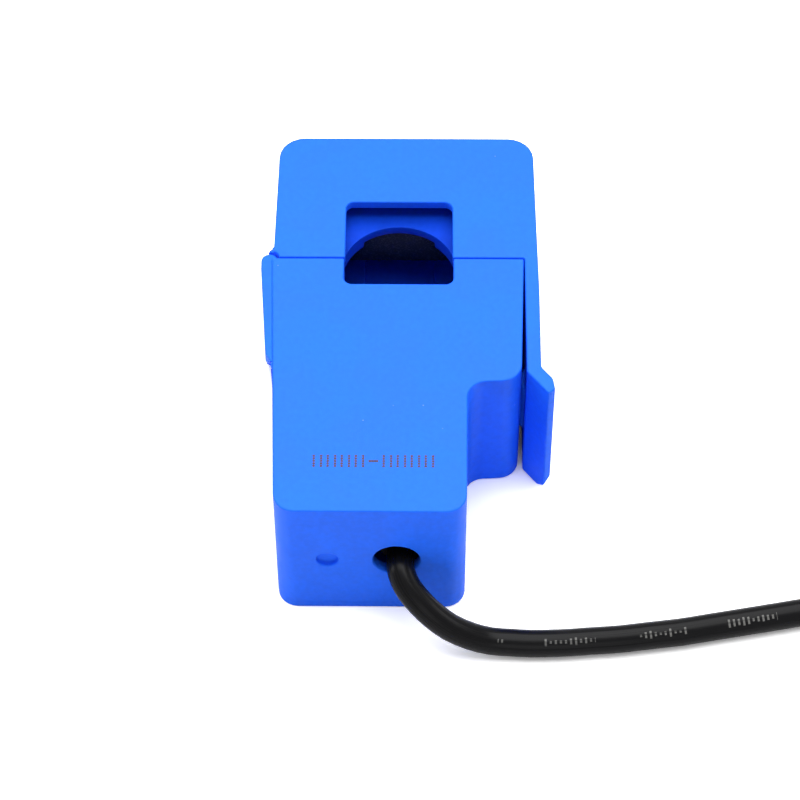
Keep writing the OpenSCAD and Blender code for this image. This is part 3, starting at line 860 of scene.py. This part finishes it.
class TRANSFORMER_OT_lead(bpy.types.Operator):
    """Lays the lead from the cable end to the plug, coils what is left over and ties it"""

    bl_idname = "transformer.lead"
    bl_label = "Lead"

    def execute(self, context):
        lead = settings("lead")
        spacing, sides = 1.2 * MM, 16
        line = smooth_line(LEAD_ROUTE[:-1] + coil_line() + TAIL_ROUTE[1:], spacing)
        mesh = swept("lead", line, lead.diameter / 2, sides)
        obj = piece("lead", mesh, "housing", "cable_black", ["cord_lead", "cord_coil", "cord_tail"], smooth=40)
        tie = self.tie()
        return {"FINISHED"}

    def tie(self):
        """The nylon band round the coil, with its head on top."""
        low, high = COIL_IN - 1.65 * MM, COIL_OUT + 0.95 * MM
        shoulder = high - 1.3 * MM  # the upper turns reach less far out than the lower ones
        top, thick, half, corner = 7.35 * MM, 0.35 * MM, 1.5 * MM, 1.2 * MM
        head_reach, head_half, head_sunk, head_height = 2.4 * MM, 2.1 * MM, 0.2 * MM, 1.6 * MM
        place = math.radians(55)  # where the band crosses the coil
        outline = []
        for centre, start in (
            ((high - corner, corner), -90), ((shoulder - corner, top - corner), 0),
            ((low + corner, top - corner), 90), ((low + corner, corner), 180),
        ):
            outline += arc(centre, corner, start, start + 90)
        inner = [
            (low + thick + (x - low) * (high - low - 2 * thick) / (high - low), thick + z * (top - 2 * thick) / top)
            for x, z in outline
        ]
        count = len(outline)
        vertices = [Vector((x, y, z)) for ring in (outline, inner) for y in (-half, half) for x, z in ring]
        faces = []
        for k in range(count):
            m = (k + 1) % count
            faces += [
                (k, m, count + m, count + k), (2 * count + k, 3 * count + k, 3 * count + m, 2 * count + m),
                (k, 2 * count + k, 2 * count + m, m), (count + k, count + m, 3 * count + m, 3 * count + k),
            ]
        band = mesh_from("coil_band", vertices, faces)
        middle = (low + high) / 2
        corners = [(middle + x, y) for x, y in (
            (-head_reach, -head_half), (head_reach, -head_half), (head_reach, head_half), (-head_reach, head_half),
        )]
        head = [(x, y, top - head_sunk + z) for z in (0, head_height) for x, y in corners]
        block = mesh_from("coil_head", head, [(0, 3, 2, 1), (4, 5, 6, 7)] + ring_faces(2, 4))
        whole = joined("coil_band", [band, block])
        whole.transform(Matrix.Translation(COIL_CENTRE) @ Matrix.Rotation(place, 4, "Z"))
        obj = piece("coil_band", whole, "housing", "tie_white", ["coil_tie"], smooth=35)
        rounding = obj.modifiers.new("Edge rounding", "BEVEL")
        rounding.width = 0.12 * MM
        rounding.segments = 2
        rounding.limit_method = "ANGLE"
        rounding.angle_limit = math.radians(40)
        return obj


class TRANSFORMER_OT_plug(bpy.types.Operator):
    """Turns the jack plug: ribbed grip, ringed strain relief and three plated contacts"""

    bl_idname = "transformer.plug"
    bl_label = "Jack plug"

    def execute(self, context):
        lead = settings("lead")
        low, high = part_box("plug_grip")
        centre, radius = (low + high) / 2, (high.x - low.x) / 2
        self.boot(lead, centre)
        self.grip(lead, low.y, high.y, centre, radius)
        for node, edge in (("plug_collar", 0.25 * MM), ("plug_sleeve", 0.08 * MM), ("plug_ring", 0.08 * MM)):
            self.contact(node, centre, edge)
        self.tip(centre)
        self.bands(("plug_sleeve_insulator", "plug_ring_insulator"), centre)
        return {"FINISHED"}

    def boot(self, lead, centre):
        """The strain relief: a tapered sleeve with soft rings."""
        low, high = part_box("plug_boot")
        thin, thick, groove = 2.1 * MM, 2.62 * MM, 0.3 * MM
        rim, rim_length = 0.25 * MM, 0.15 * MM
        flat_end, groove_start, groove_end = 0.55, 0.65, 0.92  # shares of a ring's pitch
        pitch = (high.y - low.y) / lead.rings
        shape = [(low.y, 0.0)]
        for k in range(lead.rings):
            y = low.y + k * pitch
            r = thin + (thick - thin) * (k + 1) / lead.rings
            shape += [
                (y, r - rim), (y + rim_length, r), (y + pitch * flat_end, r), (y + pitch * groove_start, r - groove),
                (y + pitch * groove_end, r - groove),
            ]
        shape += [(high.y, thick - groove), (high.y, 0.0)]
        self.turned_piece("plug_boot_rings", shape, centre, "plug_black", "plug_boot", 50)

    def grip(self, lead, start, end, centre, radius):
        """The grip: a rounded shell with ribs along it."""
        rib, rib_length, floor_gap = 0.4 * MM, 14 * MM, 0.02 * MM
        shell = radius - 0.6 * rib
        back, front, inset = 1.2 * MM, 0.8 * MM, 1.6 * MM
        profile = [(start, 0.0), (start, shell - inset)]
        profile += arc((start + back, shell - back), back, 180, 90)
        profile += arc((end - front, shell - front), front, 90, 0)
        profile += [(end, shell - inset), (end, 0.0)]
        body = turned("plug_body", profile, centre, 72)
        ribs = grown(
            "grip_ribs", grip_ribs_tree(), Ribs=lead.ribs, Grip_radius=radius - rib, Rib_length=rib_length,
            Rib_radius=rib, Material=finish("plug_black"),
        )
        moved(ribs, Vector((centre.x, (start + end) / 2, centre.z)))
        for vertex in ribs.vertices:
            vertex.co.z = max(vertex.co.z, floor_gap)
        piece("plug_body", joined("plug_body", [body, ribs]), "housing", "plug_black", ["plug_grip"], smooth=35)

    def contact(self, node, centre, edge):
        """One plated contact with a soft rim at both ends."""
        low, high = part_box(node)
        r = (high.x - low.x) / 2
        shape = [
            (low.y, 0.0), (low.y, r - edge), (low.y + edge, r), (high.y - edge, r), (high.y, r - edge), (high.y, 0.0),
        ]
        self.turned_piece(node + "_turned", shape, centre, "plug_brass", node, 35)

    def tip(self, centre):
        """The tip contact: a collar, a waist and a rounded point."""
        low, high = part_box("plug_tip")
        full, point = (high.x - low.x) / 2, 3.2
        drops = [
            (0, 0), (0.45, 0), (1.0, 0.62), (1.25, 0.66), (1.6, 0.45), (1.95, 0.32), (2.3, 0.4), (2.75, 0.85),
            (3.05, 1.3),
        ]  # mm along the tip, and mm below its full radius
        shape = [(low.y, 0.0)]
        shape += [(low.y + along * MM, full - drop * MM) for along, drop in drops]
        shape.append((low.y + point * MM, 0.0))
        self.turned_piece("plug_tip_turned", shape, centre, "plug_brass", "plug_tip", 40)

    def bands(self, nodes, centre):
        """The black rings that keep the contacts apart."""
        rings = []
        for node in nodes:
            low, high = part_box(node)
            r = (high.x - low.x) / 2
            rings.append(turned(node, [(low.y, 0), (low.y, r), (high.y, r), (high.y, 0)], centre))
        piece("plug_bands", joined("plug_bands", rings), "housing", "plug_black", nodes, smooth=40)

    def turned_piece(self, name, shape, centre, slot, node, smooth):
        """A turned piece that stands for one node."""
        piece(name, turned(name, shape, centre), "housing", slot, [node], smooth)


class TRANSFORMER_OT_stage(bpy.types.Operator):
    """Sets the camera, the pale table, the world and the lamps"""

    bl_idname = "transformer.stage"
    bl_label = "Stage"

    def execute(self, context):
        stage = settings("stage")
        scene = context.scene
        scene.view_settings.view_transform = "Standard"
        self.camera(scene, stage)
        self.floor(stage)
        self.world(scene)
        # each lamp's name, place and side in metres, and power in watts
        self.lamp("Top softbox", (0.02, 0.20, 0.80), 0.95, 14.4)
        self.lamp("Front softbox", (0.05, -0.65, 0.30), 0.35, 0.6)
        self.lamp("Left softbox", (-0.65, 0.05, 0.25), 0.3, 1.5)
        self.lamp("Right softbox", (0.65, 0.05, 0.25), 0.3, 1.2)
        return {"FINISHED"}

    def camera(self, scene, stage):
        """A camera that looks along +Y and down on the casing."""
        sin_e, cos_e = math.sin(stage.elevation), math.cos(stage.elevation)
        sin_t, cos_t = math.sin(stage.turn), math.cos(stage.turn)
        right = Vector((cos_t, -sin_t, 0))
        up = Vector((sin_e * sin_t, sin_e * cos_t, cos_e))
        ahead = Vector((cos_e * sin_t, cos_e * cos_t, -sin_e))
        rolled_right = math.cos(stage.roll) * right - math.sin(stage.roll) * up
        rolled_up = math.sin(stage.roll) * right + math.cos(stage.roll) * up
        middle, aside, below = mm(-0.235, 0, 9), 0.511 * MM, 3.463 * MM
        eye = middle - aside * rolled_right - below * rolled_up - stage.distance * ahead
        data = bpy.data.cameras.new("Camera")
        data.sensor_width = 36
        data.lens = stage.lens
        data.clip_start = 0.01
        scene.camera = linked("Camera", data)
        turn = Matrix((rolled_right, rolled_up, -ahead)).transposed()
        scene.camera.matrix_world = Matrix.Translation(eye) @ turn.to_4x4()

    def floor(self, stage):
        """A wide table whose colour is lifted to white for the camera and keeps the shadows."""
        half = 3.0
        corners = [(-half, -half, 0), (half, -half, 0), (half, half, 0), (-half, half, 0)]
        mesh = mesh_from("table", corners, [(0, 1, 2, 3)])
        made, tree, shader = new_material("Table", Roughness=0.9, Base_Color=rgba(stage.floor), Specular_IOR_Level=0.1)
        light = add(tree, "ShaderNodeLightPath")
        open_sky = add(tree, "ShaderNodeAmbientOcclusion", {"Distance": 12 * MM}, samples=4)
        shadowed, open_table, most_lift = 0.2, 0.44, 0.6
        lift = ranged(tree, open_sky.outputs["AO"], (shadowed, open_table), (0.0, most_lift))
        glow = add(tree, "ShaderNodeEmission", {
            "Color": rgba((1.0, 1.0, 1.0)), "Strength": calc(tree, "MULTIPLY", light.outputs["Is Camera Ray"], lift),
        })
        both = add(tree, "ShaderNodeAddShader", {0: shader.outputs[0], 1: glow.outputs[0]})
        tree.links.new(both.outputs[0], tree.nodes["Material Output"].inputs["Surface"])
        mesh.materials.append(made)
        linked("table", mesh)

    def world(self, scene):
        """Even light, and plain white wherever the camera or a reflection looks past the table."""
        world = bpy.data.worlds.new("Studio")
        scene.world = world
        world.use_nodes = True
        tree = world.node_tree
        sky = tree.nodes["Background"]
        sky.inputs["Color"].default_value = rgba((1.0, 1.0, 1.0))
        light = add(tree, "ShaderNodeLightPath").outputs
        seen = calc(tree, "MAXIMUM", light["Is Camera Ray"], light["Is Glossy Ray"])
        seen = calc(tree, "MAXIMUM", seen, light["Is Transmission Ray"])
        fill, backdrop = 0.18, 1.0
        tree.links.new(ranged(tree, seen, (0.0, 1.0), (fill, backdrop)), sky.inputs["Strength"])

    def lamp(self, name, place, size, power):
        """A square softbox that faces the part."""
        data = bpy.data.lights.new(name, "AREA")
        data.energy = power
        data.shape = "SQUARE"
        data.size = size
        obj = linked(name, data)
        obj.location = place
        obj.rotation_euler = (-Vector(place)).to_track_quat("-Z", "Y").to_euler()


OPERATORS = [
    TRANSFORMER_OT_stage, TRANSFORMER_OT_plug, TRANSFORMER_OT_lead, TRANSFORMER_OT_casing, TRANSFORMER_OT_marks,
    TRANSFORMER_OT_core, TRANSFORMER_OT_board,
]


class TRANSFORMER_PT_panel(bpy.types.Panel):
    """The part's operators and settings in the sidebar"""

    bl_idname = "TRANSFORMER_PT_panel"
    bl_label = "Transformer"
    bl_space_type = "VIEW_3D"
    bl_region_type = "UI"
    bl_category = "Transformer"

    def draw(self, context):
        layout = self.layout
        for kind in OPERATORS:
            layout.operator(kind.bl_idname)
        for name in SETTINGS:
            box = layout.box()
            group = settings(name)
            for key in group.__annotations__:
                box.prop(group, key)


def register():
    """Registers the settings, the operators and the panel."""
    for name, kind in SETTINGS.items():
        bpy.utils.register_class(kind)
        setattr(bpy.types.Scene, "transformer_" + name, bpy.props.PointerProperty(type=kind))
    for kind in OPERATORS:
        bpy.utils.register_class(kind)
    bpy.utils.register_class(TRANSFORMER_PT_panel)


def unregister():
    """Takes everything out again."""
    bpy.utils.unregister_class(TRANSFORMER_PT_panel)
    for kind in reversed(OPERATORS):
        bpy.utils.unregister_class(kind)
    for name, kind in SETTINGS.items():
        delattr(bpy.types.Scene, "transformer_" + name)
        bpy.utils.unregister_class(kind)


def main():
    """Registers the add-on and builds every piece."""
    register()
    for kind in OPERATORS:
        group, name = kind.bl_idname.split(".")
        getattr(getattr(bpy.ops, group), name)()


if __name__ == "__main__":
    main()
